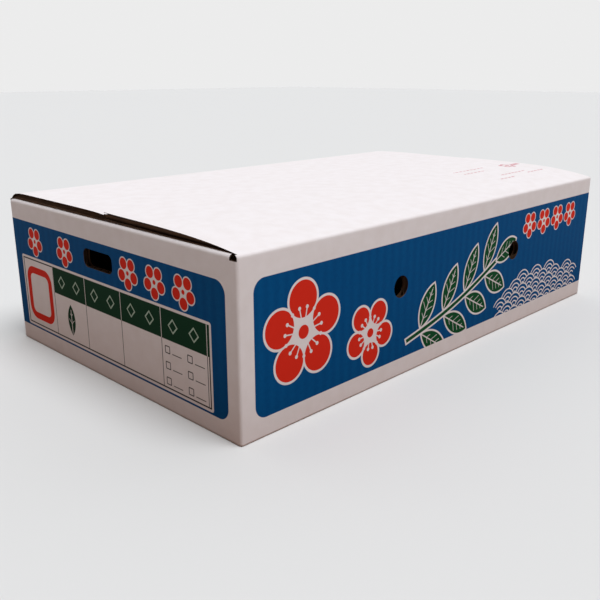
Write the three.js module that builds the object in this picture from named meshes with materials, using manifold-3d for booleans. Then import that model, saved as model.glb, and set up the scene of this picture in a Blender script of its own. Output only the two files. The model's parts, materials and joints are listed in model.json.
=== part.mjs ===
// A closed fruit carton of corrugated board: a regular slotted case, one sheet folded into four
// walls, four glued bottom flaps and four top flaps. Millimetres, +Z up.
// The origin is on the table under the carton's middle. +X runs along the long front wall, whose
// outside faces -Y; the left end wall's outside faces -X.
import * as THREE from "three";
import { mergeVertices } from "three/addons/utils/BufferGeometryUtils.js";
import Module from "manifold-3d";

// The carton, measured outside, with its lid shut
const LENGTH = 460;
const WIDTH = 284;
const WALL_HEIGHT = 120; // from the table to the creases of the top flaps
const BOARD = 5; // one wave of fluting between two liners
const GAP = 0.3; // between panels that are one sheet in the real carton
const CORNER_RADIUS = 4; // outside of the four upright creases

// The round air holes of a long wall, from the wall's left corner as seen from outside
const AIR_HOLE_DIAMETER = 16.5;
const AIR_HOLE_HEIGHT = 70;
const AIR_HOLE_PLACES = [155, 316];

// The finger slot of an end wall, placed in the same way
const FINGER_SLOT = { width: 38, height: 14, radius: 5, place: 132, centreHeight: 90 };

// The slots between the top flaps, cut on the end wall's side of each corner
const CORNER_SLOT_WIDTH = 6.5;
const CORNER_SLOT_DEPTH = 3.5;

// The glue tab, folded off the back wall and glued inside the right end wall
const TAB_WIDTH = 35;
const TAB_BOTTOM = 11;
const TAB_TOP = 108;
const TAB_TAPER = 8; // how much lower and higher its corners are at the free edge

// The lid. Each long flap lies on the walls' top creases and bulges up from its own crease.
const SEAM = 0.8; // between the two long flaps
const LID_END_INSET = 1; // the long flaps stop short of the end walls' outer faces
const FEATHER = 0.6; // where the pressed board starts beside the crease
const FRONT_BULGE = { rise: 6, ease: 38 };
const BACK_BULGE = { rise: 5.6, ease: 12 };
const BULGE_STEPS = 9;

const SHORT_FLAP_LENGTH = 141; // as deep as the long flaps: half the carton's width
const FLAP_SIDE_PLAY = 1.5; // between a short flap's side and the wall beside it

// How finely the round stretches are divided, and how cutters are made
const CORNER_SEGMENTS = 5; // in an upright crease
const HOLE_SEGMENTS = 12; // in a punched outline's arc
const OVERSHOOT = 2; // how far a cutter reaches past what it cuts
const MERGE_DISTANCE = 1e-4;

// Worked out from the above
const HALF_LENGTH = LENGTH / 2;
const HALF_WIDTH = WIDTH / 2;
const PANEL_HEIGHT = WALL_HEIGHT - GAP; // the lid lies one gap above the walls
const MITRE_SHIFT = GAP / Math.SQRT2; // along a wall, for a gap square to a mitred end
const SHORT_FLAP_WIDTH = WIDTH - 2 * (BOARD + FLAP_SIDE_PLAY);

const whiteBoard = new THREE.MeshStandardMaterial({ color: 0xe9e4df, roughness: 0.72, metalness: 0 });
const bluePrint = new THREE.MeshStandardMaterial({ color: 0x004b78, roughness: 0.55, metalness: 0 });
const kraftBoard = new THREE.MeshStandardMaterial({ color: 0xa98058, roughness: 0.85, metalness: 0 });

const wasm = await Module();
wasm.setup();

// A closed geometry as a solid that can be cut.
function toSolid(geometry) {
  const bare = geometry.clone();
  bare.deleteAttribute("normal");
  bare.deleteAttribute("uv");
  const merged = mergeVertices(bare, MERGE_DISTANCE);
  return new wasm.Manifold(
    new wasm.Mesh({
      numProp: 3,
      vertProperties: new Float32Array(merged.attributes.position.array),
      triVerts: new Uint32Array(merged.index.array),
    }),
  );
}

function toGeometry(solid) {
  const mesh = solid.getMesh();
  const geometry = new THREE.BufferGeometry();
  geometry.setAttribute("position", new THREE.BufferAttribute(mesh.vertProperties, mesh.numProp));
  geometry.setIndex(new THREE.BufferAttribute(mesh.triVerts, 1));
  geometry.computeVertexNormals();
  return geometry;
}

function cut(geometry, cutters) {
  const left = cutters.reduce((solid, cutter) => solid.subtract(toSolid(cutter)), toSolid(geometry));
  return toGeometry(left);
}

function polygon(corners) {
  return new THREE.Shape(corners.map(([x, y]) => new THREE.Vector2(x, y)));
}

// A wall seen from above, in its own frame: x runs along it from its left corner as seen from
// outside, y goes inwards from its outer face. A mitred end shares a rounded crease with the next
// panel; a raw end is cut square.
function wallPlan(length, leftMitred, rightMitred) {
  const plan = new THREE.Shape();
  if (leftMitred) {
    plan.moveTo(BOARD + MITRE_SHIFT, BOARD);
    plan.absarc(CORNER_RADIUS + MITRE_SHIFT, CORNER_RADIUS, CORNER_RADIUS, 1.25 * Math.PI, 1.5 * Math.PI);
  } else {
    plan.moveTo(0, BOARD);
    plan.lineTo(0, 0);
  }
  if (rightMitred) {
    const middle = length - CORNER_RADIUS - MITRE_SHIFT;
    plan.absarc(middle, CORNER_RADIUS, CORNER_RADIUS, 1.5 * Math.PI, 1.75 * Math.PI);
    plan.lineTo(length - BOARD - MITRE_SHIFT, BOARD);
  } else {
    plan.lineTo(length, 0);
    plan.lineTo(length, BOARD);
  }
  plan.closePath();
  return plan;
}

function wallSheet(length, bottom, top, leftMitred = true, rightMitred = true) {
  const sheet = new THREE.ExtrudeGeometry(wallPlan(length, leftMitred, rightMitred), {
    depth: top - bottom,
    bevelEnabled: false,
    curveSegments: CORNER_SEGMENTS,
  });
  return sheet.translate(0, 0, bottom);
}

// What a punch takes out of a wall: an outline in (along the wall, up), pushed right through it.
function punch(outline) {
  const tool = new THREE.ExtrudeGeometry(outline, {
    depth: BOARD + 2 * OVERSHOOT,
    bevelEnabled: false,
    curveSegments: HOLE_SEGMENTS,
  });
  return tool.rotateX(Math.PI / 2).translate(0, BOARD + OVERSHOOT, 0);
}

function airHole(place) {
  const outline = new THREE.Shape();
  outline.absarc(place, AIR_HOLE_HEIGHT, AIR_HOLE_DIAMETER / 2, 0, 2 * Math.PI);
  return punch(outline);
}

function fingerSlot() {
  const { width, height, radius, place, centreHeight } = FINGER_SLOT;
  const [left, right] = [place - width / 2 + radius, place + width / 2 - radius];
  const [low, high] = [centreHeight - height / 2 + radius, centreHeight + height / 2 - radius];
  const outline = new THREE.Shape();
  outline.absarc(right, low, radius, 1.5 * Math.PI, 2 * Math.PI);
  outline.absarc(right, high, radius, 0, 0.5 * Math.PI);
  outline.absarc(left, high, radius, 0.5 * Math.PI, Math.PI);
  outline.absarc(left, low, radius, Math.PI, 1.5 * Math.PI);
  outline.closePath();
  return punch(outline);
}

function cornerSlot(from, to) {
  const [low, high] = [WALL_HEIGHT - CORNER_SLOT_DEPTH, WALL_HEIGHT + OVERSHOOT];
  return punch(polygon([[from, low], [to, low], [to, high], [from, high]]));
}

// A long wall: plain but for its air holes. inset is how far its left end stands in from the
// carton's corner, where the right end wall laps over it.
function longWall(inset) {
  const sheet = wallSheet(LENGTH - inset, 0, PANEL_HEIGHT);
  return cut(sheet, AIR_HOLE_PLACES.map((place) => airHole(place - inset)));
}

// An end wall: a finger slot, and a slot beside each upright crease for the flaps to fold.
function endWall(rightMitred) {
  const sheet = wallSheet(WIDTH, 0, PANEL_HEIGHT, true, rightMitred);
  const leftSlot = cornerSlot(-OVERSHOOT, CORNER_SLOT_WIDTH);
  const rightSlot = cornerSlot(WIDTH - CORNER_SLOT_WIDTH, WIDTH + OVERSHOOT);
  return cut(sheet, [fingerSlot(), leftSlot, rightSlot]);
}

// The glue tab, drawn from its free edge to the corner, with its top and bottom tapered.
function glueTab() {
  const sheet = wallSheet(TAB_WIDTH, TAB_BOTTOM, TAB_TOP, false, true);
  const trim = (edge, inwards) => {
    const beyond = edge - inwards * OVERSHOOT;
    const free = [[-OVERSHOOT, beyond], [-OVERSHOOT, edge + inwards * TAB_TAPER]];
    return punch(polygon([...free, [TAB_WIDTH, edge], [TAB_WIDTH, beyond]]));
  };
  return cut(sheet, [trim(TAB_BOTTOM, 1), trim(TAB_TOP, -1)]);
}

// A flap's outline in (away from its crease, up), swept along its crease and centred on it.
// The result has the crease along X and reaches towards +Y.
function flapSheet(outline, width) {
  const sheet = new THREE.ExtrudeGeometry(outline, { depth: width, bevelEnabled: false });
  const [x, y, z] = [0, 1, 2].map((axis) => new THREE.Vector3().setComponent(axis, 1));
  return sheet.translate(0, 0, -width / 2).applyMatrix4(new THREE.Matrix4().makeBasis(y, z, x));
}

// A long top flap: flat underneath, and on top as high as the bulge, which dies away at the crease.
function longTopFlap({ rise, ease }) {
  const reach = HALF_WIDTH - SEAM / 2;
  const outline = new THREE.Shape();
  outline.moveTo(FEATHER, 0);
  outline.lineTo(reach, 0);
  for (let step = BULGE_STEPS; step >= 0; step -= 1) {
    const along = FEATHER + (reach - FEATHER) * (step / BULGE_STEPS) ** 2; // closer steps at the crease
    outline.lineTo(along, rise * (1 - Math.exp(-along / ease)));
  }
  outline.closePath();
  return flapSheet(outline, LENGTH - 2 * LID_END_INSET);
}

function flatFlap(from, to, width) {
  return flapSheet(polygon([[from, 0], [to, 0], [to, BOARD], [from, BOARD]]), width);
}

const carton = new THREE.Group();

// A panel's mesh in a group of its own, which stands at the panel's corner or crease and turns it.
function place(name, geometry, material, position, quarterTurns) {
  const mesh = new THREE.Mesh(geometry, material);
  mesh.name = name;
  const stand = new THREE.Group();
  stand.position.set(...position);
  stand.rotation.z = (quarterTurns * Math.PI) / 2;
  stand.add(mesh);
  carton.add(stand);
}

// The walls, anticlockwise from the front
const TAB_FACE = HALF_LENGTH - BOARD - GAP; // the outside of the glue tab, under the right end wall
place("front_wall", longWall(0), bluePrint, [-HALF_LENGTH, -HALF_WIDTH, 0], 0);
place("right_end_wall", endWall(false), bluePrint, [HALF_LENGTH, -HALF_WIDTH, 0], 1);
place("back_wall", longWall(BOARD + GAP), bluePrint, [TAB_FACE, HALF_WIDTH, 0], 2);
place("left_end_wall", endWall(true), bluePrint, [-HALF_LENGTH, HALF_WIDTH, 0], 3);
place("glue_tab", glueTab(), kraftBoard, [TAB_FACE, HALF_WIDTH - TAB_WIDTH, 0], 1);

// The bottom: two short flaps on two long ones
const insideLength = LENGTH - 2 * (BOARD + GAP);
const longBottomFlap = () => flatFlap(BOARD + GAP, HALF_WIDTH - SEAM / 2, insideLength);
place("bottom_front_flap", longBottomFlap(), whiteBoard, [0, -HALF_WIDTH, 0], 0);
place("bottom_back_flap", longBottomFlap(), whiteBoard, [0, HALF_WIDTH, 0], 2);
const shortBottomFlap = () => flatFlap(BOARD + GAP, BOARD + SHORT_FLAP_LENGTH, SHORT_FLAP_WIDTH);
place("bottom_left_flap", shortBottomFlap(), whiteBoard, [-HALF_LENGTH, 0, BOARD + GAP], 3);
place("bottom_right_flap", shortBottomFlap(), whiteBoard, [HALF_LENGTH, 0, BOARD + GAP], 1);

// The lid: the long flaps turn about the walls' outer top edges, the short ones about the lower
// inner edges of their own ends
place("top_front_flap", longTopFlap(FRONT_BULGE), whiteBoard, [0, -HALF_WIDTH, WALL_HEIGHT], 0);
place("top_back_flap", longTopFlap(BACK_BULGE), whiteBoard, [0, HALF_WIDTH, WALL_HEIGHT], 2);
const shortTopFlap = () => flatFlap(0, SHORT_FLAP_LENGTH, SHORT_FLAP_WIDTH);
const SHORT_CREASE = HALF_LENGTH - BOARD - GAP;
const SHORT_CREASE_HEIGHT = PANEL_HEIGHT - BOARD;
place("top_left_flap", shortTopFlap(), whiteBoard, [-SHORT_CREASE, 0, SHORT_CREASE_HEIGHT], 3);
place("top_right_flap", shortTopFlap(), whiteBoard, [SHORT_CREASE, 0, SHORT_CREASE_HEIGHT], 1);

export default carton;
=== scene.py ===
import json
import math

import bmesh
import bpy
import numpy as np
from mathutils import Matrix, Vector

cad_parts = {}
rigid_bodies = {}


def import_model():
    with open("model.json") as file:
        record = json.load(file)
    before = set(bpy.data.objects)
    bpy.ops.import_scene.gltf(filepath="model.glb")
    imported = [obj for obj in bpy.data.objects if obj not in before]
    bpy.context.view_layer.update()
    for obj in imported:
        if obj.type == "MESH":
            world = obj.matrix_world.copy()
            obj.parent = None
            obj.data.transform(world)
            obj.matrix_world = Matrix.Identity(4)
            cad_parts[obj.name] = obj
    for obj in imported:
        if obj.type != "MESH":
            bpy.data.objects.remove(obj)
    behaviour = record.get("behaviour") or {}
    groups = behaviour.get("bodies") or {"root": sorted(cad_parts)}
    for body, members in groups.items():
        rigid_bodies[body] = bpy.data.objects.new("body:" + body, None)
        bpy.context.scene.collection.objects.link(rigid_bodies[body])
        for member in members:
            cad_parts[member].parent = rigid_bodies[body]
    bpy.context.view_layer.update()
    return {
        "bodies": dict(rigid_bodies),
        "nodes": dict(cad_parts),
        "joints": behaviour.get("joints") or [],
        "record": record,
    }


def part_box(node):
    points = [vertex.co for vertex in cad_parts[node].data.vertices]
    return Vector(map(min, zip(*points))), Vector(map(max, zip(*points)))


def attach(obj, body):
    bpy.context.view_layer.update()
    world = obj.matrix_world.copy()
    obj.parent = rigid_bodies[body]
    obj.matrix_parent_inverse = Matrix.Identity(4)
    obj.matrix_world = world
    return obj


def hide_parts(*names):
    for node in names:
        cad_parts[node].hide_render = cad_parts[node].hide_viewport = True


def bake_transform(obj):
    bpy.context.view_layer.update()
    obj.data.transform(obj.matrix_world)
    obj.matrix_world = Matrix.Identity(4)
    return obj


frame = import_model()

# Long walls
# The front and back of the carton, each a panel of the one sheet that the whole carton is folded
# from: a white outer liner, a wave of brown fluting and a brown inner liner, glued together, with the
# flutes upright. Printed in the flat, punched with two air holes and pressed along its creases.
MM = 0.001
left_low, left_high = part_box("left_end_wall")
HALF_LENGTH = -left_low.x
HALF_WIDTH = -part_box("front_wall")[0].y
LENGTH, WIDTH = 2 * HALF_LENGTH, 2 * HALF_WIDTH
BOARD = left_high.x - left_low.x
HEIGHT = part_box("top_front_flap")[0].z  # of the long flaps' creases

LINER = 0.35 * MM
PAPER = 0.3 * MM  # the fluting's own thickness
GLUE = 0.04 * MM  # what glue takes up between the papers
FLUTE_PITCH = 8.7 * MM
FLUTE_STEPS = 10  # straight pieces in one wave
CORNER_RADIUS = 2 * MM  # outside of an upright crease
CORNER_REACH = 8 * MM  # from an upright crease to where the board is flat inside
PRESSED = 1 * MM  # the board's thickness in a crease
SHOULDER = 8 * MM  # from a crease to where the board has its full thickness
FRONT_CREASE_RADIUS = 2 * MM
BACK_CREASE_RADIUS = 1.2 * MM
BOTTOM_CREASE_RADIUS = 1.2 * MM

AIR_HOLE_RADIUS = 8.25 * MM
AIR_HOLE_HEIGHT = 70 * MM
AIR_HOLE_PLACES = (155 * MM, 316 * MM)  # from the wall's left corner as seen from outside


class Socket:
    """A node's output. Arithmetic with other sockets and with numbers adds Math nodes."""

    def __init__(self, tree, link):
        self.tree, self.link = tree, link

    def node(self, kind, settings=None, inputs=None, output=0):
        """Adds a node of this kind and returns its output. Settings are set before inputs."""
        made = self.tree.nodes.new(kind)
        for name, value in (settings or {}).items():
            setattr(made, name, value)
        for name, value in (inputs or {}).items():
            if isinstance(value, Socket):
                self.tree.links.new(value.link, made.inputs[name])
            else:
                made.inputs[name].default_value = value
        return Socket(self.tree, made.outputs[output])

    def math(self, operation, *values):
        return self.node("ShaderNodeMath", {"operation": operation}, dict(enumerate(values)))

    def __add__(self, other):
        return self.math("ADD", self, other)

    __radd__ = __add__

    def __sub__(self, other):
        return self.math("SUBTRACT", self, other)

    def __rsub__(self, other):
        return self.math("SUBTRACT", other, self)

    def __mul__(self, other):
        return self.math("MULTIPLY", self, other)

    __rmul__ = __mul__

    def __truediv__(self, other):
        return self.math("DIVIDE", self, other)

    def __mod__(self, other):
        return self.math("FLOORED_MODULO", self, other)

    def __abs__(self):
        return self.math("ABSOLUTE", self)

    def __lt__(self, other):
        return self.math("LESS_THAN", self, other)

    def __gt__(self, other):
        return self.math("GREATER_THAN", self, other)

    def floor(self):
        return self.math("FLOOR", self)

    def sin(self):
        return self.math("SINE", self)

    def cos(self):
        return self.math("COSINE", self)

    def clamped(self):
        return self.node("ShaderNodeClamp", {}, {"Value": self, "Min": 0.0, "Max": 1.0})

    def least(self, other):
        return self.math("MINIMUM", self, other)

    def most(self, other):
        return self.math("MAXIMUM", self, other)

    def over(self, under, colour):
        """This mask's share of colour laid over another colour."""
        factor, first, second, result = 0, 6, 7, 2  # where a colour Mix node keeps its sockets
        values = {factor: self, first: under, second: colour}
        return self.node("ShaderNodeMix", {"data_type": "RGBA"}, values, result)


def colour(red, green, blue):
    """A colour given as it shows on screen, from 0 to 255, as the shader's own linear one."""
    shares = [value / 255 for value in (red, green, blue)]
    return (*[c / 12.92 if c <= 0.04045 else ((c + 0.055) / 1.055) ** 2.4 for c in shares], 1.0)


PAPER_SHINE = 0.04  # uncoated paper has hardly any


def finish(name, roughness):
    """A new material: (material, its shader, what adds nodes to it, its place on the sheet)."""
    material = bpy.data.materials.new(name)
    material.use_nodes = True
    tree = material.node_tree
    shader = tree.nodes["Principled BSDF"]
    shader.inputs["Roughness"].default_value = roughness
    shader.inputs["Specular IOR Level"].default_value = PAPER_SHINE
    start = Socket(tree, None)
    place = start.node("ShaderNodeUVMap", {"uv_map": "sheet"})
    return material, shader, start, place


def feed(socket, shader, name):
    socket.tree.links.new(socket.link, shader.inputs[name])


def split(vector, which=None):
    """The first two numbers of a vector, or one of the three, as sockets."""
    made = vector.tree.nodes.new("ShaderNodeSeparateXYZ")
    vector.tree.links.new(vector.link, made.inputs[0])
    if which is not None:
        return Socket(vector.tree, made.outputs[which])
    return Socket(vector.tree, made.outputs[0]), Socket(vector.tree, made.outputs[1])


def length(x, y):
    return x.math("SQRT", x * x + y * y)


def noise(start, place, scale, detail=3.0, stretch=(1, 1, 1)):
    """Smooth noise from 0 to 1 over the sheet. Scale is in spots to the metre."""
    at = start.node("ShaderNodeMapping", {}, {"Vector": place, "Scale": stretch})
    return start.node("ShaderNodeTexNoise", {}, {"Vector": at, "Scale": scale, "Detail": detail})


# Relief of the white liner, and of the coarser brown paper
RIBS, FIBRES = 0.04 * MM, 0.02 * MM
KRAFT_RIBS, KRAFT_FIBRES = 0.06 * MM, 0.03 * MM
WHITE_ROUGHNESS, KRAFT_ROUGHNESS = 0.62, 0.85

# How many of each to the metre, and how fibres are stretched along the flutes
UNEVEN, GRAIN, CLOUDS, FLECKS = 14.0, 1400.0, 90.0, 700.0
KRAFT_GRAIN, KRAFT_CLOUDS = 500.0, 60.0
GRAIN_STRETCH, KRAFT_STRETCH = (1.0, 0.35, 1.0), (1.0, 0.12, 1.0)


def washboard(start, place):
    """How far the liner sinks between the flutes that it is glued to, from 0 to 1, unevenly."""
    across, _ = split(place)
    wave = (across * (2 * math.pi / FLUTE_PITCH)).cos() * 0.5 + 0.5
    return wave * noise(start, place, UNEVEN)


def paper_relief(start, place, shader, ribs=RIBS, fibres=FIBRES):
    """Feeds a liner's relief: ribs over the flutes and the fibres of the paper, in metres."""
    rough = noise(start, place, GRAIN, 4.0, GRAIN_STRETCH)
    height = washboard(start, place) * ribs + rough * fibres
    normal = start.node("ShaderNodeBump", {}, {"Height": height, "Strength": 1.0, "Distance": 1.0})
    feed(normal, shader, "Normal")


WHITE_BOARD = colour(230, 222, 220)
WHITE_BOARD_THIN = colour(222, 212, 208)  # where the brown ply below shows through
FLECK = colour(178, 158, 138)
KRAFT, KRAFT_DARK, KRAFT_WARM = colour(158, 120, 86), colour(128, 94, 64), colour(160, 116, 76)
# Painted shade: the fluting, the cut edges and the hollow sides inside the board are this dark brown, as
# they look in the shade of the open flutes
SHADED_KRAFT, SHADED_KRAFT_DARK = colour(66, 54, 50), colour(40, 33, 31)


def white_tint(start, place):
    """White-topped liner: faint cloudy mottling, where the brown ply below shows through, and flecks."""
    clouds = ((noise(start, place, CLOUDS, 5.0) - 0.35) * 1.6).clamped()
    flecks = ((noise(start, place, FLECKS, 2.0) - 0.70) * 8).clamped() * 0.35
    return flecks.over(clouds.over(WHITE_BOARD, WHITE_BOARD_THIN), FLECK)


def kraft_material(name, tone, deep):
    """Brown paper with long fibres lying along the flutes, in the tones given: bare paper, or darkened as
    painted shade for the fluting.
    """
    material, shader, start, place = finish(name, KRAFT_ROUGHNESS)
    fibres = ((noise(start, place, KRAFT_GRAIN, 5.0, KRAFT_STRETCH) - 0.3) * 1.8).clamped()
    clouds = noise(start, place, KRAFT_CLOUDS) * 0.35
    feed(clouds.over(fibres.over(deep, tone), KRAFT_WARM), shader, "Base Color")
    paper_relief(start, place, shader, KRAFT_RIBS, KRAFT_FIBRES)
    return material


kraft_liner = kraft_material("kraft_liner", KRAFT, KRAFT_DARK)
# Painted shade: the fluting's brown is darkened to stand for the shade in the flutes, at the cut edges
# and inside the holes
shaded_fluting_paper = kraft_material("shaded_fluting_paper", SHADED_KRAFT, SHADED_KRAFT_DARK)


white_liner, shader, start, place = finish("white_liner", WHITE_ROUGHNESS)
feed(white_tint(start, place), shader, "Base Color")
paper_relief(start, place, shader)

FACE, BACK, INSIDE = 0, 1, 2  # a board's material slots


def slab(across, along, outside, inside, materials):
    """A flat closed sheet between two depths, with its rows and columns where they are given.

    materials are the slots of its outer side and its inner side."""
    columns, rows = len(across), len(along)
    grid_across, grid_along = np.meshgrid(across, along, indexing="ij")
    points = [
        np.stack([grid_across, grid_along, np.full_like(grid_across, -depth)], axis=-1)
        for depth in (outside, inside)
    ]
    vertices = np.concatenate([p.reshape(-1, 3) for p in points])
    back = columns * rows

    def at(column, row, side=0):
        return side * back + column * rows + row

    faces, wears = [], []
    for column in range(columns - 1):
        for row in range(rows - 1):
            ring = [(column, row), (column + 1, row), (column + 1, row + 1), (column, row + 1)]
            faces.append([at(*corner) for corner in ring])
            faces.append([at(*corner, 1) for corner in reversed(ring)])
            wears += materials
    rim = [(c, 0) for c in range(columns)] + [(columns - 1, r) for r in range(1, rows)]
    rim += [(c, rows - 1) for c in range(columns - 2, -1, -1)] + [(0, r) for r in range(rows - 2, -1, -1)]
    for here, there in zip(rim, rim[1:]):
        faces.append([at(*there), at(*here), at(*here, 1), at(*there, 1)])
        wears.append(INSIDE)
    mesh = bpy.data.meshes.new("slab")
    mesh.from_pydata(vertices.tolist(), [], faces)
    mesh.polygons.foreach_set("material_index", wears)
    return mesh


def fluting_tree():
    """The wave of paper between the liners, as a tree of nodes: a thin sheet raised by a sine."""
    tree = bpy.data.node_groups.new("fluting", "GeometryNodeTree")
    kinds = {"Steps": "NodeSocketInt", "Rows": "NodeSocketInt", "Material": "NodeSocketMaterial"}
    for name in ("Across", "Along", "Pitch", "Rise", "Paper", "Start", "Slant", *kinds):
        tree.interface.new_socket(name, in_out="INPUT", socket_type=kinds.get(name, "NodeSocketFloat"))
    tree.interface.new_socket("Geometry", in_out="OUTPUT", socket_type="NodeSocketGeometry")
    given = {link.name: Socket(tree, link) for link in tree.nodes.new("NodeGroupInput").outputs}
    across, along, pitch = given["Across"], given["Along"], given["Pitch"]

    size = across.node("ShaderNodeCombineXYZ", {}, {0: across, 1: along, 2: given["Paper"]})
    columns = across.math("CEIL", across / pitch * given["Steps"])
    sheet = {"Size": size, "Vertices X": columns, "Vertices Y": given["Rows"]}
    flat = across.node("GeometryNodeMeshCube", {}, sheet)
    corner = across.node("ShaderNodeCombineXYZ", {}, {0: across * 0.5, 1: along * 0.5})
    moved = flat.node("GeometryNodeTransform", {}, {"Geometry": flat, "Translation": corner})
    x, y = split(across.node("GeometryNodeInputPosition"))
    waves = x / pitch + y * given["Slant"] + given["Start"]
    height = (waves * (2 * math.pi)).sin() * (given["Rise"] * 0.5)
    lift = across.node("ShaderNodeCombineXYZ", {}, {2: height})
    raised = moved.node("GeometryNodeSetPosition", {}, {"Geometry": moved, "Offset": lift})
    real = raised.node("GeometryNodeRealizeInstances", {}, {"Geometry": raised})
    worn = real.node("GeometryNodeSetMaterial", {}, {"Geometry": real, "Material": given["Material"]})
    tree.links.new(worn.link, tree.nodes.new("NodeGroupOutput").inputs[0])
    return tree


FLUTING = fluting_tree()


def added(name, data):
    """A new object in the scene."""
    thing = bpy.data.objects.new(name, data)
    bpy.context.scene.collection.objects.link(thing)
    return thing


def values_of(items, name, size=1, kind=float):
    """What each of a mesh's vertices, faces or face corners holds, in rows of this size."""
    values = np.empty(len(items) * size, kind)
    items.foreach_get(name, values)
    return values.reshape(-1, size) if size > 1 else values


def plain_mesh(thing):
    """The mesh that an object has once its modifiers are worked out."""
    evaluated = thing.evaluated_get(bpy.context.evaluated_depsgraph_get())
    return bpy.data.meshes.new_from_object(evaluated)


def fluting(across, along, start, slant):
    """The fluting of one board: its rows lie where they are given and its waves fill the board."""
    thing = added("fluting", bpy.data.meshes.new("fluting"))
    waves = thing.modifiers.new("fluting", "NODES")
    waves.node_group = FLUTING
    values = {
        "Across": across[-1] - across[0],
        "Along": along[-1] - along[0],
        "Pitch": FLUTE_PITCH,
        "Rise": BOARD - 2 * LINER - PAPER - GLUE,
        "Paper": PAPER,
        "Start": start,
        "Slant": slant,
        "Steps": FLUTE_STEPS,
        "Rows": len(along),
        "Material": shaded_fluting_paper,
    }
    for item in FLUTING.interface.items_tree:
        if item.in_out == "INPUT":
            waves[item.identifier] = values[item.name]
    mesh = plain_mesh(thing)
    bpy.data.objects.remove(thing)
    points = values_of(mesh.vertices, "co", 3)
    spacing = (along[-1] - along[0]) / (len(along) - 1)
    points[:, 1] = np.interp(points[:, 1] / spacing, range(len(along)), along)
    points[:, 0] += across[0]
    points[:, 2] -= BOARD / 2
    mesh.vertices.foreach_set("co", points.ravel())
    mesh.materials.clear()
    mesh.polygons.foreach_set("material_index", [INSIDE] * len(mesh.polygons))
    return mesh


def punch(outline):
    """What a punch takes out of a flat board: a closed outline of (across, along), pushed through."""
    made = bmesh.new()
    reach = BOARD / 2
    low = [made.verts.new((x, y, -BOARD - reach)) for x, y in outline]
    high = [made.verts.new((x, y, reach)) for x, y in outline]
    made.faces.new(high)
    made.faces.new(reversed(low))
    for here in range(len(outline)):
        there = (here + 1) % len(outline)
        made.faces.new((low[here], low[there], high[there], high[here]))
    for face in made.faces:
        face.material_index = INSIDE
    bmesh.ops.recalc_face_normals(made, faces=made.faces)
    mesh = bpy.data.meshes.new("punch")
    made.to_mesh(mesh)
    made.free()
    for _ in (FACE, BACK, INSIDE):
        mesh.materials.append(None)
    return mesh


def arc(centre, radius, start, end, steps=12):
    """Points round an arc, its angles in quarter turns."""
    turns = np.linspace(start, end, steps) * (math.pi / 2)
    return [(centre[0] + radius * math.cos(turn), centre[1] + radius * math.sin(turn)) for turn in turns]


def box_outline(low, high):
    return [(low[0], low[1]), (high[0], low[1]), (high[0], high[1]), (low[0], high[1])]


MAP_EDGE = 0.004  # kept free round a baking map, whose sides run from 0 to 1
OUTER_WIDE, OUTER_HIGH = 0.8, 0.77  # room on it for a board's outer side, laid out in strips
STRIP_STEP = 1.03  # from one strip to the next, in the board's own height
INNER_LOW, INNER_WIDE, INNER_HIGH = 0.8, 0.78, 0.19  # room for its inner side
REST_LEFT, REST_WIDE, REST_HIGH = 0.83, 0.16, 0.76  # room for the fluting and the cut edges
EDGE_STRETCH = 6  # how much wider than it is a cut edge lies there


def bake_places(mesh, points, across, along):
    """Where each face corner lies on the map that a finish is baked to.

    The outer side lies large in two strips, or in one if it is short, the inner side smaller above it,
    and the fluting and the cut edges beside it. points are the face corners of the flat board."""
    counts = values_of(mesh.polygons, "loop_total", kind=int)
    wears = np.repeat(values_of(mesh.polygons, "material_index", kind=int), counts)
    upright = np.repeat(abs(values_of(mesh.polygons, "normal", 3)[:, 2]) < 0.5, counts)
    x, y, depth = points[:, 0] - across[0], points[:, 1] - along[0], -points[:, 2]
    wide, tall = across[-1] - across[0], along[-1] - along[0]
    middles = np.add.reduceat(x, np.cumsum(counts) - counts) / counts
    strips, fold = 1, wide
    if wide > 1.5 * tall:
        strips = 2
        fold = min(np.subtract(across, across[0]), key=lambda column: abs(column - wide / 2))
    second = np.repeat(middles > fold, counts)
    step = STRIP_STEP * tall
    large = min(OUTER_WIDE / max(fold, wide - fold), OUTER_HIGH / (strips * step))
    medium = min(INNER_WIDE / wide, INNER_HIGH / tall)
    small = min(REST_WIDE / tall, REST_HIGH / wide)
    rest_across, rest_up = np.where(upright, EDGE_STRETCH * depth, y), np.where(upright, x + y, x)
    to_right = [(x - fold * second) * large, x * medium, REST_LEFT + rest_across * small]
    to_top = [(y + step * second) * large, INNER_LOW + y * medium, rest_up * small]
    return np.stack([np.choose(wears, to_right), np.choose(wears, to_top)], axis=-1) + MAP_EDGE


SHARP = math.radians(35)  # a board's edges turn more than this, its bends less


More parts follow.
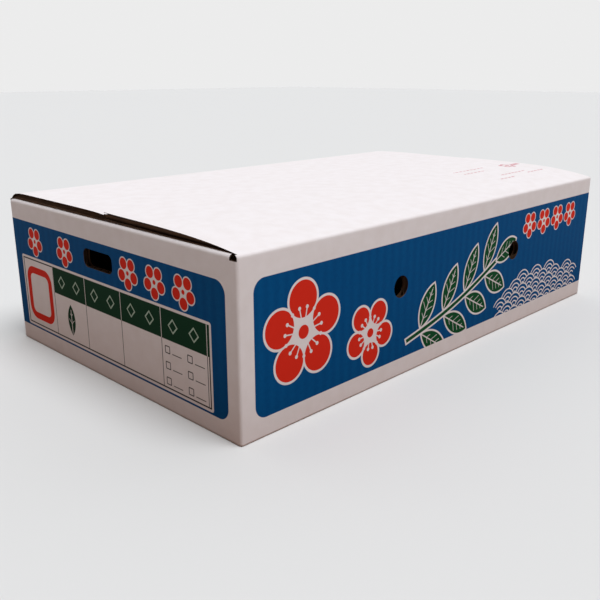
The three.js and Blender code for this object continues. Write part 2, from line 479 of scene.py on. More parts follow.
def board(name, across, along, bend, place, face, holes=(), sheet=(0, 0), start=0.0, slant=0.0):
    """One panel: its three papers, cut flat, then bent to shape and put where the frame has it.

    across and along hold where the liners' columns and rows lie; bend turns (across, along, depth)
    into a place in the panel's own frame; place is that frame's matrix."""
    parts = bmesh.new()
    parts.from_mesh(slab(across, along, 0, LINER, (FACE, INSIDE)))
    parts.from_mesh(slab(across, along, BOARD - LINER, BOARD, (INSIDE, BACK)))
    parts.from_mesh(fluting(across, along, start, slant))
    mesh = bpy.data.meshes.new(name)
    parts.to_mesh(mesh)
    parts.free()
    for material in (face, kraft_liner, shaded_fluting_paper):
        mesh.materials.append(material)
    piece = added(name, mesh)
    for outline in holes:
        tool = added("punch", punch(outline))
        cut = piece.modifiers.new("punch", "BOOLEAN")
        cut.object = tool
        cut.operation = "DIFFERENCE"
        cut.solver = "EXACT"
        bpy.context.view_layer.update()
        piece.data = plain_mesh(piece)
        piece.modifiers.remove(cut)
        bpy.data.objects.remove(tool)
    mesh = piece.data
    points = values_of(mesh.vertices, "co", 3)
    corners = values_of(mesh.loops, "vertex_index", kind=int)
    flat = mesh.uv_layers.new(name="sheet")
    flat.data.foreach_set("uv", (points[corners, :2] + sheet).ravel())
    laid = mesh.uv_layers.new(name="OFBake")
    laid.data.foreach_set("uv", bake_places(mesh, points[corners], across, along).ravel())
    bent = np.stack(bend(points[:, 0], points[:, 1], -points[:, 2]), axis=-1)
    turn, shift = np.array(place.to_3x3()), np.array(place.translation)
    mesh.vertices.foreach_set("co", (bent @ turn.T + shift).ravel())
    mesh.shade_smooth()
    mesh.set_sharp_from_angle(angle=SHARP)
    mesh.update()
    return piece


def standing(right, up, origin):
    """The frame of a panel as seen from outside: its right, its up, and out towards the viewer."""
    right, up = Vector(right), Vector(up)
    turn = Matrix((right, up, right.cross(up))).transposed()
    return Matrix.Translation(origin) @ turn.to_4x4()


def crease_side(near, radius, turn):
    """Outside and inside of a wall beside a crease, by the distance near from it.

    Both are (in from the wall's face, away from the crease). The outside goes round the crease; the
    inside rises to it in a quarter of an ellipse, because the crease is pressed thin."""
    share = np.clip(1 - near / radius, 0, 1) * turn
    outside = radius * (1 - np.cos(share)), np.where(near < radius, radius * (1 - np.sin(share)), near)
    end_in = radius * (1 - math.cos(turn)) + PRESSED * math.cos(turn)
    end_away = radius * (1 - math.sin(turn)) + PRESSED * math.sin(turn)
    swing = np.clip(1 - near / SHOULDER, 0, 1) * (math.pi / 2)
    inside = (
        end_in + (BOARD - end_in) * np.cos(swing),
        np.where(near < SHOULDER, SHOULDER + (end_away - SHOULDER) * np.sin(swing), near),
    )
    return outside, inside


def wall_bend(corners, height, top_crease, low_crease):
    """Bends a flat wall. corners holds where its upright creases are and which way the wall lies
    from each, and a crease is its radius and how far the board turns in it before the flap starts."""

    def bend(across, along, depth):
        share = depth / BOARD
        nearest = np.full_like(across, LENGTH)
        sideways, round_in = np.zeros_like(across), np.zeros_like(across)
        for edge, way in corners:
            near = (across - edge) * way
            nearest = np.minimum(nearest, near)
            away = np.clip(1 - near / CORNER_RADIUS, 0, 1) * (math.pi / 4)
            outer = np.where(near < CORNER_RADIUS, CORNER_RADIUS * (1 - np.sin(away)), near)
            inner = BOARD + near * (1 - BOARD / CORNER_REACH)
            moved = outer + (inner - outer) * share - near
            sideways += np.where(near < CORNER_REACH, moved, 0) * way
            round_in += CORNER_RADIUS * (1 - np.cos(away))
        kept = np.clip(nearest / CORNER_REACH, 0, 1)  # the creases die away at the corners
        (top_out, top_out_away), (top_in, top_in_away) = crease_side(height - along, *top_crease)
        (low_out, low_out_away), (low_in, low_in_away) = crease_side(along, *low_crease)
        upper = along > height / 2
        out_in = round_in + np.where(upper, top_out, low_out)
        in_in = BOARD + (np.where(upper, top_in, low_in) - BOARD) * kept
        out_z = np.where(upper, height - top_out_away, low_out_away)
        in_z = np.where(upper, height - top_in_away, low_in_away)
        return across + sideways, out_z + (in_z - out_z) * share, -(out_in + (in_in - out_in) * share)

    return bend


STATIONS = (0, 0.03, 0.06, 0.1, 0.15, 0.2, 0.25, 0.35, 0.5, 0.7, 1)  # closest where the board bends most


def ruled(low, high, near_low, near_high, middle):
    """Where a panel's rows or columns lie: close together by its creases and evenly spread between."""
    first = [low + near_low * station for station in STATIONS] if near_low else [low]
    last = [high - near_high * station for station in reversed(STATIONS)] if near_high else [high]
    return first + list(np.linspace(first[-1], last[0], middle + 2))[1:-1] + last


LONG_COLUMNS = ruled(0, LENGTH, CORNER_REACH, CORNER_REACH, 20)
WALL_ROWS = ruled(0, HEIGHT, SHOULDER, SHOULDER, 3)

# The lid's long flaps slope up from their creases, so that each crease turns less than a square corner
FRONT_RISE, FRONT_EASE = 6 * MM, 38 * MM
BACK_RISE, BACK_EASE = 5.6 * MM, 5 * MM
FRONT_CREASE = (FRONT_CREASE_RADIUS, math.pi / 2 - math.atan(FRONT_RISE / FRONT_EASE))
BACK_CREASE = (BACK_CREASE_RADIUS, math.pi / 2 - math.atan(BACK_RISE / BACK_EASE))
BOTTOM_CREASE = (BOTTOM_CREASE_RADIUS, math.pi / 2)

BLUE = colour(0, 72, 124)
BLUE_THIN = colour(6, 88, 140)
BLUE_DEEP = colour(0, 58, 104)
RUBBED_INK = colour(150, 164, 176)
RED = colour(214, 44, 28)
GREEN = colour(16, 74, 40)
DARK_GREEN = colour(18, 56, 36)
INK_BLACK = colour(24, 26, 30)
PALE_GREEN = colour(170, 190, 172)
PRINT_ROUGHNESS = 0.6
INK_CLOUDS, RUBS = 320.0, 260.0  # to the metre
RUB_REACH = 2.6  # millimetres from the corner's crease

# The printing plate covers a long wall and the end wall to its right, and prints twice. Its measures
# are millimetres from the left edge of the long wall and up from the table.
PLATE = (LENGTH + WIDTH) / MM
END = LENGTH / MM
FIRST_RISE, FIRST_TILT = 1.0, 0.002  # how far the first print lies too high, and its slope along the wall
SECOND_RISE, SECOND_TILT = 1.6, -0.0055  # the second print's, sloping along the end wall
PANEL_LOW, PANEL_HIGH, PANEL_LEFT, PANEL_RIGHT, PANEL_RADIUS = 12.5, 102.6, 12.0, PLATE - 11.3, 9.0
BIG_BLOSSOMS = ((54, 60, 36, 0.3), (121, 42, 26, 0.9))  # middle, radius and turn
SMALL_BLOSSOMS = (
    *[(across, 87) for across in (342, 368, 394, 420)],
    *[(END + across, 87.5) for across in (37, 84, 170, 201, 232)],
)
SMALL_BLOSSOM, SMALL_BLOSSOM_REACH = 12.5, 13.25
SPRIG_START, SPRIG_END, SPRIG_BOW = (164, 24), (292, 66), 5
LEAF_LENGTH, LEAF_WIDTH, LEAF_LEAN, LEAF_SPACING, LEAF_PAIRS = 41.0, 19.0, 0.82, 31.0, 4
WAVE_RADIUS, WAVE_LEFT, WAVE_RIGHT, WAVE_LOW = 12.5, 296.0, 447.0, PANEL_LOW - 3
TABLE_LEFT, TABLE_RIGHT, TABLE_LOW, TABLE_HIGH = END + 14, END + 256.5, 16.0, 72.0
HEADER_LOW, FIRST_COLUMN, COLUMN, TICK_ROW = 51.0, END + 62, 48.0, 11.2


def inked(distance, soft=0.25):
    """1 inside a shape and 0 outside it, from the distance to its edge in millimetres."""
    return (0.5 - distance / soft).clamped()


def turned(x, y, angle):
    return x * math.cos(angle) + y * math.sin(angle), y * math.cos(angle) - x * math.sin(angle)


def rounded_box(x, y, half_width, half_height, radius):
    """How far outside a box with round corners a place lies, x and y being from the box's middle."""
    over_x, over_y = abs(x) - (half_width - radius), abs(y) - (half_height - radius)
    return length(over_x.most(0), over_y.most(0)) + over_x.most(over_y).least(0) - radius


def box_between(u, v, left, right, low, high, radius=0.0):
    x, y = u - (left + right) / 2, v - (low + high) / 2
    return rounded_box(x, y, (right - left) / 2, (high - low) / 2, radius)


def blossom(x, y, radius, turn=0.0, edge=1.7, stamens=True):
    """A plum blossom of five round petals. Returns what prints white and what prints red over it."""
    away = length(x, y)
    fifth = 2 * math.pi / 5
    round_it = x.math("ARCTAN2", y, x) + (2 * math.pi + turn)
    petal_turn = (round_it % fifth) - fifth / 2
    along, beside = away * petal_turn.cos(), away * petal_turn.sin()
    petal = length(along - radius * 0.61, beside) - radius * 0.39
    between = away * (fifth / 2 - abs(petal_turn)).sin()
    white = inked(petal.least(away - radius * 0.4))
    heart = radius * 0.13
    red = inked(petal + edge) * inked(edge * 0.45 - between) * inked(heart + edge - away)
    red = red.most(inked(away - heart))
    if stamens:
        thread_turn = ((round_it + fifth / 6) % (fifth / 3)) - fifth / 6
        thread = (abs(away * thread_turn.sin()) - 0.45).most(away - radius * 0.43)
        tip = length(away * thread_turn.cos() - radius * 0.46, away * thread_turn.sin()) - 1.3
        red = red * (1 - inked(thread.least(tip)) * inked(heart - away))
    return white, red


def leaf(x, y, long, wide, edge=1.5, vein=0.5):
    """A pointed leaf from nought along x. Returns what prints white and what prints green over it."""
    round_radius = (long * long + wide * wide) / (4 * wide)
    offset = round_radius - wide / 2
    shape = length(x - long / 2, abs(y) + offset) - round_radius
    ribs = abs(((x - abs(y) * 0.9) % 6.4) - 3.2) - vein * 0.7
    ribs = ribs.most(wide * 0.12 - (wide / 2 - abs(y)) + abs(x - long / 2) * (wide / long))
    middle = (abs(y) - vein).most(abs(x - long * 0.44) - long * 0.4)
    return inked(shape), inked(shape + edge) * (1 - inked(middle.least(ribs)) * 0.9)


def waves(u, v):
    """Rows of waves, each standing in front of the one above it. Returns what prints white."""
    spacing = WAVE_RADIUS / 2  # from one row up to the next
    up = v - WAVE_LOW
    first_row = (up / spacing).floor() - 1
    nearest = None
    for step in (2, 1, 0):
        row = first_row + step
        shift = (row % 2) * WAVE_RADIUS
        beside = ((u + shift) % (2 * WAVE_RADIUS)) - WAVE_RADIUS
        away = length(beside, up - row * spacing)
        if nearest is None:
            nearest, middle, its_row = away, u - beside, row
        else:
            inside = away < WAVE_RADIUS
            nearest = nearest + (away - nearest) * inside
            middle = middle + (u - beside - middle) * inside
            its_row = its_row + (row - its_row) * inside
    in_from_left = middle - WAVE_LEFT
    crest = (in_from_left / 34).sin() * 1.7 + in_from_left / 44 + 1.6  # how many rows stand there
    line = ((WAVE_RADIUS - nearest) % (WAVE_RADIUS / 3.4)) - 1.15
    fits = inked((its_row - crest) * 50) * inked(nearest - WAVE_RADIUS)
    return inked(line) * (fits * (middle > WAVE_LEFT) * (middle < WAVE_RIGHT))


def sprig(u, v):
    """A bowed stem with leaves in pairs and one at its tip, as layers of print."""
    run_x, run_y = SPRIG_END[0] - SPRIG_START[0], SPRIG_END[1] - SPRIG_START[1]
    run, slope = math.hypot(run_x, run_y), math.atan2(run_y, run_x)
    along, beside = turned(u - SPRIG_START[0], v - SPRIG_START[1], slope)
    beside = beside + (along / run * math.pi).sin() * SPRIG_BOW
    sideways = abs(beside)
    skewed = along - sideways / math.tan(LEAF_LEAN)
    pair = (skewed / LEAF_SPACING).floor()
    base = pair * LEAF_SPACING + LEAF_SPACING / 2
    leaf_x, leaf_y = turned(along - base, sideways, LEAF_LEAN)
    white, green = leaf(leaf_x - 2.5, leaf_y, LEAF_LENGTH, LEAF_WIDTH)
    shown = (pair > -0.5) * (pair < LEAF_PAIRS - 0.5)
    tip_white, tip_green = leaf(along - run + 6, beside, LEAF_LENGTH * 0.9, LEAF_WIDTH)
    stem = (abs(beside) - 1.5).most(abs(along - run / 2) - run / 2)
    return [
        (inked(stem - 1.5), inked(stem), GREEN),
        (white * shown, green * shown, GREEN),
        (tip_white, tip_green, GREEN),
    ]


def blossoms(u, v):
    """The large and the small blossoms, as layers of print."""
    layers = []
    for middle_u, middle_v, radius, turn in BIG_BLOSSOMS:
        layers.append((*blossom(u - middle_u, v - middle_v, radius, turn), RED))
    x, y = u - SMALL_BLOSSOMS[0][0], v - SMALL_BLOSSOMS[0][1]
    for middle_u, middle_v in SMALL_BLOSSOMS[1:]:
        here = abs(u - middle_u) < SMALL_BLOSSOM_REACH
        x = x + (u - middle_u - x) * here
        y = y + (v - middle_v - y) * here
    small = blossom(x, y, SMALL_BLOSSOM, -math.pi / 10, edge=0.85, stamens=False)
    return [*layers, (*small, RED)]


def blank_table(u, v, art, paper):
    """The art with the end wall's table over it, which is left to be filled in."""
    frame = box_between(u, v, TABLE_LEFT, TABLE_RIGHT, TABLE_LOW, TABLE_HIGH)
    in_table = inked(frame)
    column = (u - FIRST_COLUMN) % COLUMN
    upright = inked(column.least(COLUMN - column) - 0.3) * (u > FIRST_COLUMN - 1)
    rules = inked(abs(frame + 0.4) - 0.5).most(upright * in_table)
    header = (u > FIRST_COLUMN) * inked(HEADER_LOW - v) * in_table
    header_v = v - (HEADER_LOW + TABLE_HIGH) / 2
    diamond = abs(abs(abs(column - COLUMN / 2) - 11) + abs(header_v) - 4.6) - 0.7
    ring_x, ring_y = u - (TABLE_LEFT + FIRST_COLUMN) / 2, v - (TABLE_LOW + TABLE_HIGH) / 2 + 0.5
    ring = abs(rounded_box(ring_x, ring_y, 17.5, 19.5, 8)) - 2.9
    _, leaf_ink = leaf(v - 21.0, u - FIRST_COLUMN - COLUMN / 2, 25.0, 11.0, edge=0.0, vein=0.45)

    # The last column has three rows of two tick boxes, each with a line beside it
    tick_u = u - FIRST_COLUMN - 3 * COLUMN
    in_last = tick_u > 1.5
    tick_x, tick_y = tick_u % (COLUMN / 2), (v - TABLE_LOW) % TICK_ROW - TICK_ROW / 2
    tick = abs(rounded_box(tick_x - 6, tick_y, 2.4, 2.4, 0.4)) - 0.35
    tick_line = (abs(tick_x - 16) - 5).most(abs(tick_y + 2) - 0.3)
    ticks = inked(tick.least(tick_line)) * in_last * in_table * (1 - header)
    ticks = ticks * (v < TABLE_LOW + 3 * TICK_ROW)

    art = inked(frame - 2.0).over(art, paper)
    art = (header * (1 - upright)).over(art, DARK_GREEN)
    art = (inked(diamond) * header).over(art, PALE_GREEN)
    art = (leaf_ink * in_table).over(art, DARK_GREEN)
    art = (rules * (1 - header)).most(ticks).over(art, INK_BLACK)
    return inked(ring).over(art, RED)


def printed_material():
    """The white liner with its print: traditional blossoms, leaves and waves, and a table left blank."""
    material, shader, start, place = finish("printed_liner", PRINT_ROUGHNESS)
    across, up = split(place)
    u = (across / MM) % PLATE
    second = across > PLATE * MM
    rise = (u.least(END) * FIRST_TILT + FIRST_RISE) * (1 - second)
    rise = rise + ((u - END).most(0) * SECOND_TILT + SECOND_RISE) * second
    v = up / MM - rise

    # The blue panel, which runs round the corner between the two walls. Its ink is thinner between the
    # flutes, where the board gives under the plate, and a little is rubbed off along the crease
    art = (washboard(start, place) * 0.55).over(BLUE, BLUE_THIN)
    art = ((noise(start, place, INK_CLOUDS, 4.0) - 0.45) * 0.9).clamped().over(art, BLUE_DEEP)
    rubbed = (noise(start, place, RUBS, 5.0) * 1.8 - 0.45).clamped()
    rubbed = (1 - abs(u - END) / RUB_REACH).clamped() * rubbed
    ink = inked(box_between(u, v, PANEL_LEFT, PANEL_RIGHT, PANEL_LOW, PANEL_HIGH, PANEL_RADIUS))
    paper = white_tint(start, place)

    # Each layer is what is left white, what is printed over that, and in which colour
    art = waves(u, v).over(art, paper)
    for white, printed, tone in (*sprig(u, v), *blossoms(u, v)):
        art = printed.over(white.over(art, paper), tone)
    art = blank_table(u, v, art, paper)

    feed(ink.over(paper, (rubbed * 0.7).over(art, RUBBED_INK)), shader, "Base Color")
    paper_relief(start, place, shader)
    return material


printed_liner = printed_material()

AIR_HOLE_SIDES = 48
AIR_HOLES = [
    arc((place, AIR_HOLE_HEIGHT), AIR_HOLE_RADIUS, 0, 4 - 4 / AIR_HOLE_SIDES, AIR_HOLE_SIDES)
    for place in AIR_HOLE_PLACES
]

front_wall = board(
    "front_wall_board",
    LONG_COLUMNS,
    WALL_ROWS,
    wall_bend([(0, 1), (LENGTH, -1)], HEIGHT, FRONT_CREASE, BOTTOM_CREASE),
    standing((1, 0, 0), (0, 0, 1), (-HALF_LENGTH, -HALF_WIDTH, 0)),
    printed_liner,
    AIR_HOLES,
)
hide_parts("front_wall")
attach(front_wall, "carton")

LAP = BOARD + 0.3 * MM  # the right end wall's board, which the back wall stops short of
back_wall = board(
    "back_wall_board",
    ruled(LAP, LENGTH, CORNER_REACH, CORNER_REACH, 20),
    WALL_ROWS,
    wall_bend([(LAP, 1), (LENGTH, -1)], HEIGHT, BACK_CREASE, BOTTOM_CREASE),
    standing((-1, 0, 0), (0, 0, 1), (HALF_LENGTH, HALF_WIDTH, 0)),
    printed_liner,
    AIR_HOLES,
    sheet=(LENGTH + WIDTH, 0),
)
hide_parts("back_wall")
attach(back_wall, "carton")

# End walls
# The carton's two short sides, of the same sheet, each with a slot for the fingers. A narrow gap is cut
# down beside their short flaps at both top corners. The right one laps over the glue tab, cut square.
END_CREASE_RADIUS = 2.5 * MM
FLAP_HEIGHT = left_high.z  # top of the short flaps
END_HEIGHT = FLAP_HEIGHT - END_CREASE_RADIUS  # where the end's short flap starts to bend
END_TOP = (0.001 * MM, 0.0)  # pressed thin, but not turned before the flap starts
UNDER_SLOPE = math.radians(46)  # of the short bottom flap beside its crease
END_BOTTOM = (BOTTOM_CREASE_RADIUS, math.pi / 2 + UNDER_SLOPE)
CORNER_GAP_WIDTH, CORNER_GAP_DEPTH = 6.5 * MM, 3.5 * MM
SHUT_GAP_WIDTH = 1.6 * MM  # of the gap at the left end's back corner, which is nearly pressed shut
PAST = 1 * MM  # how far a cut runs past the board's edge
FINGER_SLOT_WIDTH, FINGER_SLOT_HEIGHT, FINGER_SLOT_RADIUS = 38 * MM, 14 * MM, 5 * MM
FINGER_SLOT_PLACE = (132 * MM, 90 * MM)  # its middle, from the wall's bottom left corner


def round_box(middle, width, height, radius):
    """A box with round corners, as one outline."""
    outline = []
    for turn, (way_x, way_y) in enumerate(((1, 1), (-1, 1), (-1, -1), (1, -1))):
        centre = middle[0] + way_x * (width / 2 - radius), middle[1] + way_y * (height / 2 - radius)
        outline += arc(centre, radius, turn, turn + 1, 8)
    return outline


def end_holes(left_gap):
    """What is cut out of an end wall. left_gap is how wide the gap at its left corner is."""
    low, high = FLAP_HEIGHT - CORNER_GAP_DEPTH, HEIGHT + PAST
    return [
        round_box(FINGER_SLOT_PLACE, FINGER_SLOT_WIDTH, FINGER_SLOT_HEIGHT, FINGER_SLOT_RADIUS),
        box_outline((-PAST, low), (left_gap, high)),
        box_outline((WIDTH - CORNER_GAP_WIDTH, low), (WIDTH + PAST, high)),
    ]


END_ROWS = ruled(0, END_HEIGHT, SHOULDER, SHOULDER, 3)

left_end = board(
    "left_end_wall_board",
    ruled(0, WIDTH, CORNER_REACH, CORNER_REACH, 12),
    END_ROWS,
    wall_bend([(0, 1), (WIDTH, -1)], END_HEIGHT, END_TOP, END_BOTTOM),
    standing((0, -1, 0), (0, 0, 1), (-HALF_LENGTH, HALF_WIDTH, 0)),
    printed_liner,
    end_holes(SHUT_GAP_WIDTH),
    sheet=(2 * LENGTH + WIDTH, 0),
)
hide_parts("left_end_wall")
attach(left_end, "carton")

right_end = board(
    "right_end_wall_board",
    ruled(0, WIDTH, CORNER_REACH, 0, 14),
    END_ROWS,
    wall_bend([(0, 1)], END_HEIGHT, END_TOP, END_BOTTOM),
    standing((0, 1, 0), (0, 0, 1), (HALF_LENGTH, -HALF_WIDTH, 0)),
    printed_liner,
    end_holes(CORNER_GAP_WIDTH),
    sheet=(LENGTH, 0),
)
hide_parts("right_end_wall")
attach(right_end, "carton")

# Glue tab
# A strip at the sheet's end, folded off the back wall and glued inside the right end wall, which
# closes the sleeve. Its corners are cut back so that they stay clear of the flaps' creases.
tab_low, tab_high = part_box("glue_tab")
TAB_WIDTH, TAB_HEIGHT = tab_high.y - tab_low.y, tab_high.z - tab_low.z
TAB_TAPER = 8 * MM
TAB_CUT = TAB_WIDTH * 0.9
glue_tab = board(
    "glue_tab_board",
    ruled(0, TAB_WIDTH, 0, CORNER_REACH, 2),
    ruled(0, TAB_HEIGHT, 0, 0, 4),
    wall_bend([(TAB_WIDTH, -1)], 2 * HEIGHT, END_TOP, END_TOP),  # so high that no crease falls on its top
    standing((0, 1, 0), (0, 0, 1), (tab_high.x, tab_low.y, tab_low.z)),
    white_liner,
    [
        [(-PAST, -PAST), (TAB_CUT, -PAST), (-PAST, TAB_TAPER)],
        [(-PAST, TAB_HEIGHT - TAB_TAPER), (TAB_CUT, tab_high.z), (-PAST, tab_high.z)],
    ],
)
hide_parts("glue_tab")
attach(glue_tab, "carton")

# Bottom flaps
# Four flaps that close the bottom: the short ones folded in first, the long ones glued under them and
# meeting in the middle. They carry the fruit, and the long ones stand on the table.


def flap_bend(outside, inside):
    """Bends a flap: outside and inside give, for a distance in from the wall's face, a height."""

    def bend(across, along, depth):
        top, under = outside(along, across), inside(along, across)
        return across, along, top + (under - top) * depth / BOARD

    return bend


def thickness(away):
    """How thick the board is at a distance from its crease."""
    return PRESSED + (BOARD - PRESSED) * np.sin(np.clip(away / SHOULDER, 0, 1) * (math.pi / 2))


def level(along, across):
    return np.zeros_like(along)


def pressed_under(along, across):
    return -thickness(-along - BOTTOM_CREASE_RADIUS)


SEAM = 0.4 * MM  # from the middle of the carton to a long flap's edge
UNDER_END = 7.5 * MM  # from the end wall's face to the long bottom flaps' ends
for name, right, way, start in (
    ("bottom_front_flap", 1, -1, 0.0),
    ("bottom_back_flap", -1, 1, LENGTH + WIDTH),
):
    flap = board(
        name + "_board",
        ruled(UNDER_END, LENGTH - UNDER_END, 0, 0, 24),
        ruled(-HALF_WIDTH + SEAM, -BOTTOM_CREASE_RADIUS, 0, SHOULDER, 8),
        flap_bend(level, pressed_under),
        standing((right, 0, 0), (0, way, 0), (-right * HALF_LENGTH, way * HALF_WIDTH, 0)),
        white_liner,
        sheet=(start, 0),
    )
    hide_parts(name)
    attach(flap, "carton")

under_low, under_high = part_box("bottom_left_flap")
UNDER_LIFT = under_low.z  # of the short flaps' underside
UNDER_REACH = under_high.x + HALF_LENGTH
UNDER_START = BOTTOM_CREASE_RADIUS * (1 + math.sin(UNDER_SLOPE))
UNDER_START_LIFT = BOTTOM_CREASE_RADIUS * (1 - math.cos(UNDER_SLOPE))


def sloping(along, across):
    """A short bottom flap's underside: up over the long flap's end, then level."""
    return -np.minimum(UNDER_START_LIFT + (-along - UNDER_START) * math.tan(UNDER_SLOPE), UNDER_LIFT)


def sloping_upper(along, across):
    return sloping(along, across) - thickness(-along - UNDER_START)


for name, side, start in (("bottom_left_flap", -1, 2 * LENGTH + WIDTH), ("bottom_right_flap", 1, LENGTH)):
    flap = board(
        name + "_board",
        ruled(HALF_WIDTH - under_high.y, HALF_WIDTH + under_high.y, 0, 0, 14),
        ruled(-UNDER_REACH, -UNDER_START, 0, 2 * SHOULDER, 8),
        flap_bend(sloping, sloping_upper),
        standing((0, side, 0), (side, 0, 0), (side * HALF_LENGTH, -side * HALF_WIDTH, 0)),
        white_liner,
        sheet=(start, 0),
    )
    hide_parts(name)
    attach(flap, "carton")

# Short top flaps
# The two inner flaps of the lid, folded in first off the end walls. Each is one piece with the rounded
# top edge of its end wall.
short_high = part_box("top_left_flap")[1]
SHORT_REACH = short_high.x + HALF_LENGTH
SHORT_START = HALF_WIDTH - short_high.y  # from the long wall's face
CREASE_LENGTH = END_CREASE_RADIUS * math.pi / 2
BENDS_OVER = 14 * MM  # from the end wall's face to where a flap that is pushed down is straight
CREASE_DROP = 0.8 * MM  # how much lower the left flap's crease ends at the long wall
CREASE_END = [SHUT_GAP_WIDTH, (SHUT_GAP_WIDTH + SHORT_START) / 2]  # columns of that end, beside the flap
BESIDE_FLAP = box_outline((0, 0), (SHORT_START, SHORT_REACH))


def rolled(across, along, depth):
    """Rounds the end wall's top edge, where along is below nought, and lies flat beyond it."""
    turn = np.clip(1 + along / CREASE_LENGTH, 0, 1) * (math.pi / 2)
    radius = END_CREASE_RADIUS - thickness(along) * depth / BOARD
    flat = np.maximum(along, 0)
    inward = END_CREASE_RADIUS - np.where(along < 0, radius, END_CREASE_RADIUS) * np.cos(turn) + flat
    down = END_CREASE_RADIUS - radius * np.sin(turn)
    down = down + np.clip(1 - across / SHORT_START, 0, 1) * np.sin(turn) * CREASE_DROP
    return across, inward, -down


for name, side, start, more, holes in (
    ("top_left_flap", -1, 2 * LENGTH + WIDTH, CREASE_END, [BESIDE_FLAP]),
    ("top_right_flap", 1, LENGTH, [], []),
):
    flap = board(
        name + "_board",
        more + ruled(SHORT_START, HALF_WIDTH + short_high.y, 0, 0, 14),
        ruled(-CREASE_LENGTH, 0, 0, 0, 7)[:-1]
        + ruled(0, SHORT_REACH - END_CREASE_RADIUS, SHOULDER, 0, 8),
        rolled,
        standing((0, side, 0), (-side, 0, 0), (side * HALF_LENGTH, -side * HALF_WIDTH, FLAP_HEIGHT)),
        white_liner,
        holes,
        sheet=(start, HEIGHT),
    )
    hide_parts(name)
    crease_start = (side * HALF_LENGTH, 0, FLAP_HEIGHT)
    crease_end = (side * (HALF_LENGTH - BENDS_OVER), 0, FLAP_HEIGHT)
    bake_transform(flap)

# Long top flaps
# The lid's two outer flaps, which meet over the middle of the carton. They lie on the short flaps and
# bulge a little towards the seam. Their ends are cut along the flutes, so that the board shows open.
LID_END = 2 * MM  # from the end wall's face to a long flap's end
RIGHT_LIFT, LIFT_REACH = 2 * MM, 60 * MM  # how much more the lid bulges at its right end, and from where
FRONT_EDGE_RISE, BACK_EDGE_RISE = 0.4 * MM, -0.9 * MM  # of the flaps' free edges at the left end
EDGE_REACH = 12 * MM  # how far in from a free edge it rises
SETTLED = 0.05 * MM  # the underside's height over the short flaps
FLUTE_START = 0.2  # where in a wave the lid's fluting starts
FLUTE_SLANT = 1.4  # how many waves it shifts by to the metre


def lid_top(rise, ease, crease, edge_rise, lifted_end):
    """A long flap's upper side and underside, over the distance from its wall's face.

    edge_rise is how much the free edge lifts, and lifted_end the flap's end where it bulges most."""
    radius, turn = crease
    start = radius * (1 - math.cos(turn))
    start_height = -radius * (1 - math.sin(turn))

    def height(along, across):
        away = along - start
        near_end = (1 - abs(across - lifted_end) / LENGTH) ** 3
        lift = RIGHT_LIFT * near_end * np.sin(np.clip(away / LIFT_REACH, 0, 1) * (math.pi / 2))
        edge = edge_rise * np.exp((along - HALF_WIDTH) / EDGE_REACH) * (1 - near_end)
        return start_height + rise * (1 - np.exp(-away / ease)) + lift + edge

    def under(along, across):
        away = np.clip((along - start) / (SHORT_START - start), 0, 1)
        low = start_height - PRESSED * math.sin(turn)
        lowest = low + (SETTLED - low) * np.sin(away * (math.pi / 2))
        return np.maximum(lowest, height(along, across) - BOARD)

    return height, under, start


# The small print near the front flap's right end. Its measures are millimetres, those of the bars being
# left end, right end and height from the print's middle
LID_MARKS = (430, HEIGHT / MM + 76)  # the print's middle on the sheet
LID_INK = colour(186, 62, 84)
LID_BARS = ((-84, -32, 9), (-84, -48, -3), (-60, -14, -27), (-20, 10, -34), (-78, -52, -38))
BAR_HALF, DASH, GAP_SHARE = 0.9, 6.4, 0.72
LID_INK_CLOUDS = 420.0  # to the metre


def lid_material():
    """White liner with a little faint red print: a blossom and a few broken bars."""
    material, shader, start, place = finish("lid_liner", WHITE_ROUGHNESS)
    across, up = split(place)
    u, v = across / MM - LID_MARKS[0], up / MM - LID_MARKS[1]

    def bar(left, right, height):
        solid = (abs(u - (left + right) / 2) - (right - left) / 2).most(abs(v - height) - BAR_HALF)
        return solid.most(((u + 200 + height * 1.7) % DASH) - DASH * GAP_SHARE)

    away = length(u, v)
    round_it = start.math("ARCTAN2", v, u) + 2 * math.pi
    petals = abs(away - 6.5 - (round_it * 5).cos() * 1.3) - 1.5
    marks = petals.least(away - 2.2)
    marks = marks.least((abs(u - 16) - 6).most(abs(v) - 2.4))
    for left, right, height in LID_BARS:
        marks = marks.least(bar(left, right, height))
    ink = inked(marks, 0.3) * (noise(start, place, LID_INK_CLOUDS) * 1.5 - 0.1).clamped()
    feed(ink.over(white_tint(start, place), LID_INK), shader, "Base Color")
    paper_relief(start, place, shader)
    return material


lid_liner = lid_material()
for name, right, way, rise, ease, crease, edge_rise, lifted_end, start in (
    ("top_front_flap", 1, 1, FRONT_RISE, FRONT_EASE, FRONT_CREASE, FRONT_EDGE_RISE, LENGTH, 0.0),
    ("top_back_flap", -1, -1, BACK_RISE, BACK_EASE, BACK_CREASE, BACK_EDGE_RISE, 0.0, LENGTH + WIDTH),
):
    height, under, begin = lid_top(rise, ease, crease, edge_rise, lifted_end)
    flap = board(
        name + "_board",
        ruled(LID_END, LENGTH - LID_END, 0, 0, 24),
        ruled(begin, HALF_WIDTH - SEAM, SHOULDER, 0, 20),
        flap_bend(height, under),
        standing((right, 0, 0), (0, way, 0), (-right * HALF_LENGTH, -way * HALF_WIDTH, HEIGHT)),
        lid_liner if way > 0 else white_liner,
        sheet=(start, HEIGHT),
        start=FLUTE_START,
        slant=FLUTE_SLANT,
    )
    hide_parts(name)
    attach(flap, name.replace("top_", ""))
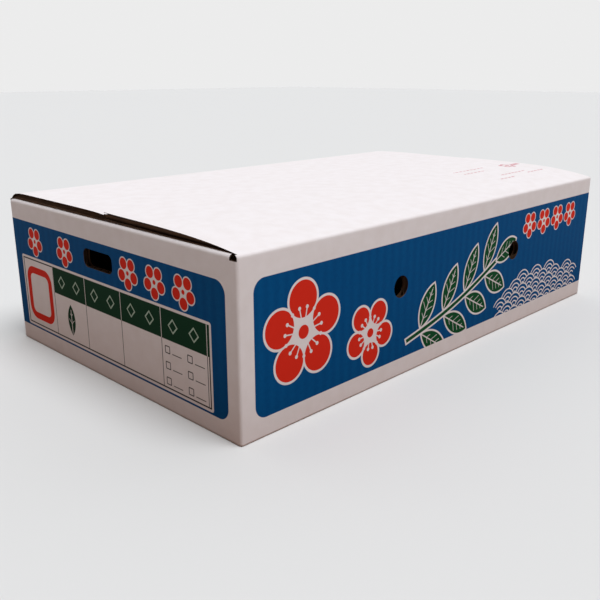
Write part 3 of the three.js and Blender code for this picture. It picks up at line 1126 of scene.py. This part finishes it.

# Creases of the long top flaps
# The strip of pressed board that joins each long flap to its wall. It is hidden in the folded edge while
# the lid is shut.
STRIP_ROWS = (HALF_WIDTH - 1.4 * MM, HALF_WIDTH - 2 * MM)
STRIP_HEIGHTS = (HEIGHT - 0.7 * MM, HEIGHT - 0.4 * MM)
STRIP_HALF_LENGTH = HALF_LENGTH - 2 * MM
for name, flap_body, way in (("front_crease", "front_flap", -1), ("back_crease", "back_flap", 1)):
    strip = bmesh.new()
    corners = [
        [strip.verts.new((x, way * y, z)) for y in STRIP_ROWS for z in STRIP_HEIGHTS]
        for x in np.linspace(-STRIP_HALF_LENGTH, STRIP_HALF_LENGTH, 24)
    ]
    for here, there in zip(corners, corners[1:]):
        for a, b in ((0, 1), (1, 3), (3, 2), (2, 0)):
            strip.faces.new((here[a], here[b], there[b], there[a]))
    for end in (corners[0], corners[-1]):
        strip.faces.new((end[0], end[1], end[3], end[2]))
    bmesh.ops.recalc_face_normals(strip, faces=strip.faces)
    mesh = bpy.data.meshes.new(name)
    strip.to_mesh(mesh)
    strip.free()
    mesh.materials.append(white_liner)
    points = values_of(mesh.vertices, "co", 3)[values_of(mesh.loops, "vertex_index", kind=int)]
    flat = mesh.uv_layers.new(name="sheet")
    flat.data.foreach_set("uv", points[:, :2].ravel())
    crease = added(name, mesh)
    first, last = ((0, way * row, HEIGHT) for row in STRIP_ROWS)
    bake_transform(crease)

# Studio
# A pale floor in a pale room. What lights the carton is a bright wall behind it and above it, weaker
# and warmer light elsewhere, and a floor that gives little back close to the carton.
PALE = (0.84, 0.84, 0.84, 1)  # the room as the camera sees it
PALE_FLOOR = (0.66, 0.64, 0.615, 1)
FLOOR_REACH = 0.22  # metres from the carton to where the floor gives back its full light
FLOOR_NEAR, FLOOR_FAR = (0.19, 0.08, 0.035, 1), (0.5, 0.45, 0.42, 1)
FLOOR_HALF = 8  # metres
FLOOR_ROUGHNESS = 0.9
ROOM_DARK, ROOM_BRIGHT = (0.1, 0.08, 0.075, 1), (0.86, 0.9, 0.93, 1)  # opposite sides of the room
LOW_DARK, LOW_BRIGHT = (0.38, 0.3, 0.26, 1), (0.74, 0.74, 0.74, 1)  # the same near the floor
LAMP_WIDTH, LAMP_STRENGTH, LAMP_COLOUR = math.radians(40), 2.9, (0.95, 1, 1.06)
TO_LAMP = (0.04, -0.4, 1)

floor_mesh = bpy.data.meshes.new("floor")
floor_outline = box_outline((-FLOOR_HALF, -FLOOR_HALF), (FLOOR_HALF, FLOOR_HALF))
floor_mesh.from_pydata([(x, y, 0) for x, y in floor_outline], [], [(0, 1, 2, 3)])
floor = added("floor", floor_mesh)
floor_paint = bpy.data.materials.new("floor_paint")
floor_paint.use_nodes = True
floor_shader = floor_paint.node_tree.nodes["Principled BSDF"]
floor_start = Socket(floor_paint.node_tree, None)
east, north = split(floor_start.node("ShaderNodeTexCoord", output=3))
away = (abs(east) - HALF_LENGTH).most(abs(north) - HALF_WIDTH) / FLOOR_REACH
seen = floor_start.node("ShaderNodeLightPath")
given_back = away.clamped().over(FLOOR_NEAR, FLOOR_FAR)
feed(seen.over(given_back, PALE_FLOOR), floor_shader, "Base Color")
floor_shader.inputs["Roughness"].default_value = FLOOR_ROUGHNESS
floor_mesh.materials.append(floor_paint)

world = bpy.data.worlds.new("studio")
world.use_nodes = True
sky = world.node_tree.nodes["Background"]
towards = Socket(world.node_tree, None).node("ShaderNodeTexCoord")
east, north = split(towards)
up_high = (split(towards, 2) - 0.08) * 5
backdrop = (east * 0.86 + north * 0.98 + 0.2).clamped()  # 1 towards the bright wall behind the carton
low_light, high_light = backdrop.over(LOW_DARK, LOW_BRIGHT), backdrop.over(ROOM_DARK, ROOM_BRIGHT)
seen = towards.node("ShaderNodeLightPath")
feed(seen.over(up_high.clamped().over(low_light, high_light), PALE), sky, "Color")
sky.inputs["Strength"].default_value = 1.0
bpy.context.scene.world = world

lamp = bpy.data.lights.new("overhead", "SUN")
lamp.angle, lamp.energy, lamp.color = LAMP_WIDTH, LAMP_STRENGTH, LAMP_COLOUR
overhead = added("overhead", lamp)
overhead.rotation_euler = Vector(TO_LAMP).to_track_quat("Z", "Y").to_euler()
bpy.context.scene.view_settings.view_transform = "Standard"

# Camera
# Where the photograph was taken from: near the carton's corner, a little above it.
SENSOR, LENS = 36, 44.14  # millimetres
CAMERA_PLACE = (-0.4905, -0.4484, 0.2182)
LOOKS_DOWN, LOOKS_RIGHT = math.radians(17.21), math.radians(45.44)  # to the right of straight at the back

camera = bpy.data.cameras.new("camera")
camera.sensor_width, camera.lens = SENSOR, LENS
view = added("camera", camera)
view.location = CAMERA_PLACE
view.rotation_euler = (math.pi / 2 - LOOKS_DOWN, 0, -LOOKS_RIGHT)
bpy.context.scene.camera = view
